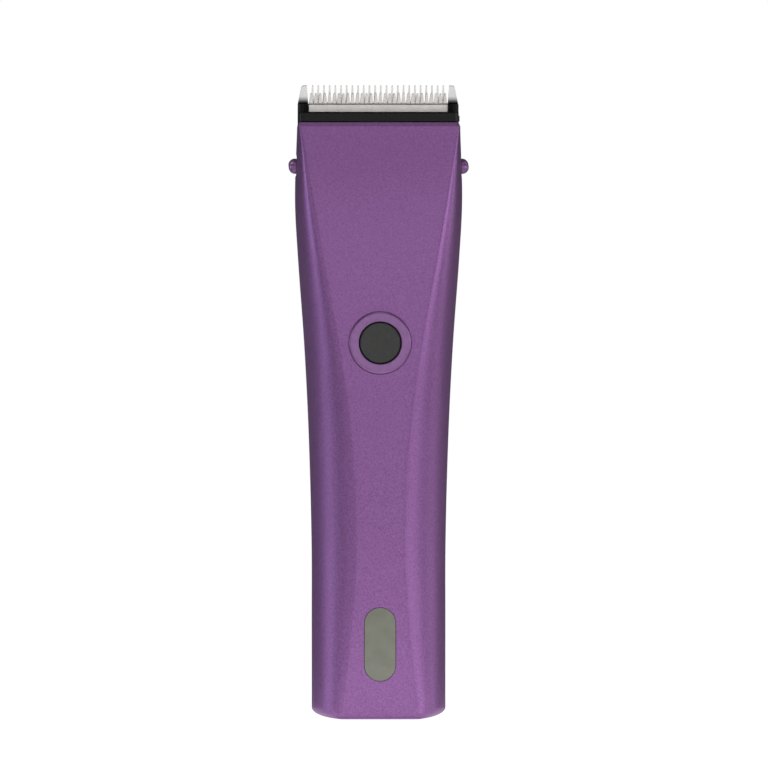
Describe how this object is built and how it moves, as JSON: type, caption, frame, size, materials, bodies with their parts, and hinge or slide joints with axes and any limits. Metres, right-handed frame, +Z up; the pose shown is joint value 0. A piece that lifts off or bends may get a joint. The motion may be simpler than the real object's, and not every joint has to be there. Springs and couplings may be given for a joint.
{
  "type": "cordless pet clipper",
  "caption": "Slim upright cordless hair clipper with a tapering faceted grip, round power button, charge window, side thumb knobs and a comb-and-cutter blade set.",
  "frame": {"origin": "middle of the flat base on the tail end", "axes": "+Z up along the body to the blade tips, -Y out of the front face with the button, +X to the right seen from the front"},
  "size_m": [0.0506, 0.0367, 0.178],
  "materials": {
    "casing_purple": "satin metallic purple paint with fine flake",
    "trim_purple": "smooth satin purple",
    "black_gloss": "polished black moulding",
    "black_matte": "fine matt black moulding",
    "button_black": "fine matt charcoal moulding",
    "window_grey": "smooth smoked grey lens",
    "clear_plastic": "translucent moulding",
    "comb_steel": "mirror polished steel",
    "cutter_steel": "ground steel",
    "spring_steel": "drawn spring steel",
    "zinc_steel": "zinc plated steel",
    "magnet": "sintered grey",
    "copper": "enamelled copper winding",
    "brass": "plain brass",
    "board_green": "green solder mask",
    "cell_wrap": "shrink wrap",
    "foam": "open foam",
    "nylon": "natural nylon",
    "wire_red": "wire sleeve",
    "wire_black": "wire sleeve"
  },
  "bodies": {
    "casing": {"front_shell": "casing_purple", "rear_shell": "casing_purple", "base_plate": "casing_purple", "charge_window": "window_grey", "button_ring": "trim_purple", "head_frame": "black_matte", "chassis": "nylon", "hair_seal": "foam", "case_screw_1": "zinc_steel", "case_screw_2": "zinc_steel", "case_screw_3": "zinc_steel", "case_screw_4": "zinc_steel", "motor_can": "zinc_steel", "motor_end_cap": "nylon", "magnet_left": "magnet", "magnet_right": "magnet", "motor_bush": "brass", "motor_bracket": "zinc_steel", "motor_screw_left": "zinc_steel", "motor_screw_right": "zinc_steel", "motor_terminal_left": "brass", "motor_terminal_right": "brass", "motor_lead_red": "wire_red", "motor_lead_black": "wire_black", "battery_cell": "cell_wrap", "battery_tab_bottom": "zinc_steel", "battery_tab_top": "zinc_steel", "circuit_board": "board_green", "control_chip": "black_matte", "capacitor": "black_gloss", "light_guide": "clear_plastic", "charge_led_1": "clear_plastic", "charge_led_2": "clear_plastic", "charge_led_3": "clear_plastic", "tact_switch": "black_matte", "charge_inlet": "black_matte", "inlet_pin_left": "brass", "inlet_pin_right": "brass", "detent_spring": "spring_steel", "blade_latch": "spring_steel"},
    "rotor": {"motor_shaft": "spring_steel", "armature": "copper", "eccentric": "nylon"},
    "button": {"power_button": "button_black", "switch_plunger": "nylon"},
    "adjuster": {"adjuster_bail": "nylon", "adjuster_knob_left": "trim_purple", "adjuster_knob_right": "trim_purple"},
    "blade_set": {"comb_blade": "comb_steel", "blade_carrier": "black_gloss", "comb_screw_left": "zinc_steel", "comb_screw_right": "zinc_steel"},
    "slider": {"cutter_slider": "black_matte", "blade_spring_left": "spring_steel", "blade_spring_right": "spring_steel"},
    "cutter": {"cutter_blade": "cutter_steel", "drive_yoke": "nylon"}
  },
  "joints": [
    {"name": "motor_spin", "type": "hinge", "parent": "casing", "child": "rotor", "pos_m": [0, 0.001, 0.13], "axis": [0, 0, 1], "continuous": true},
    {"name": "button_press", "type": "slide", "parent": "casing", "child": "button", "axis": [0, 1, 0], "range_m": [0, 0.0008], "stiffness_N_per_m": 1200, "springref_m": -0.0003},
    {"name": "length_adjust", "type": "slide", "parent": "casing", "child": "adjuster", "axis": [0, -0.2079, 0.9781], "range_m": [-0.001, 0.0013]},
    {"name": "blade_open", "type": "hinge", "parent": "casing", "child": "blade_set", "pos_m": [0, 0.01284, 0.14859], "axis": [-1, 0, 0], "range_deg": [0, 40]},
    {"name": "cutter_feed", "type": "slide", "parent": "blade_set", "child": "slider", "axis": [0, -0.2079, 0.9781], "range_m": [-0.001, 0.0013]},
    {"name": "cutter_stroke", "type": "slide", "parent": "slider", "child": "cutter", "axis": [1, 0, 0], "range_m": [-0.0012, 0.0012]}
  ],
  "couplings": [
    {"joint": "cutter_feed", "follows": "length_adjust", "ratio": 1}
  ]
}
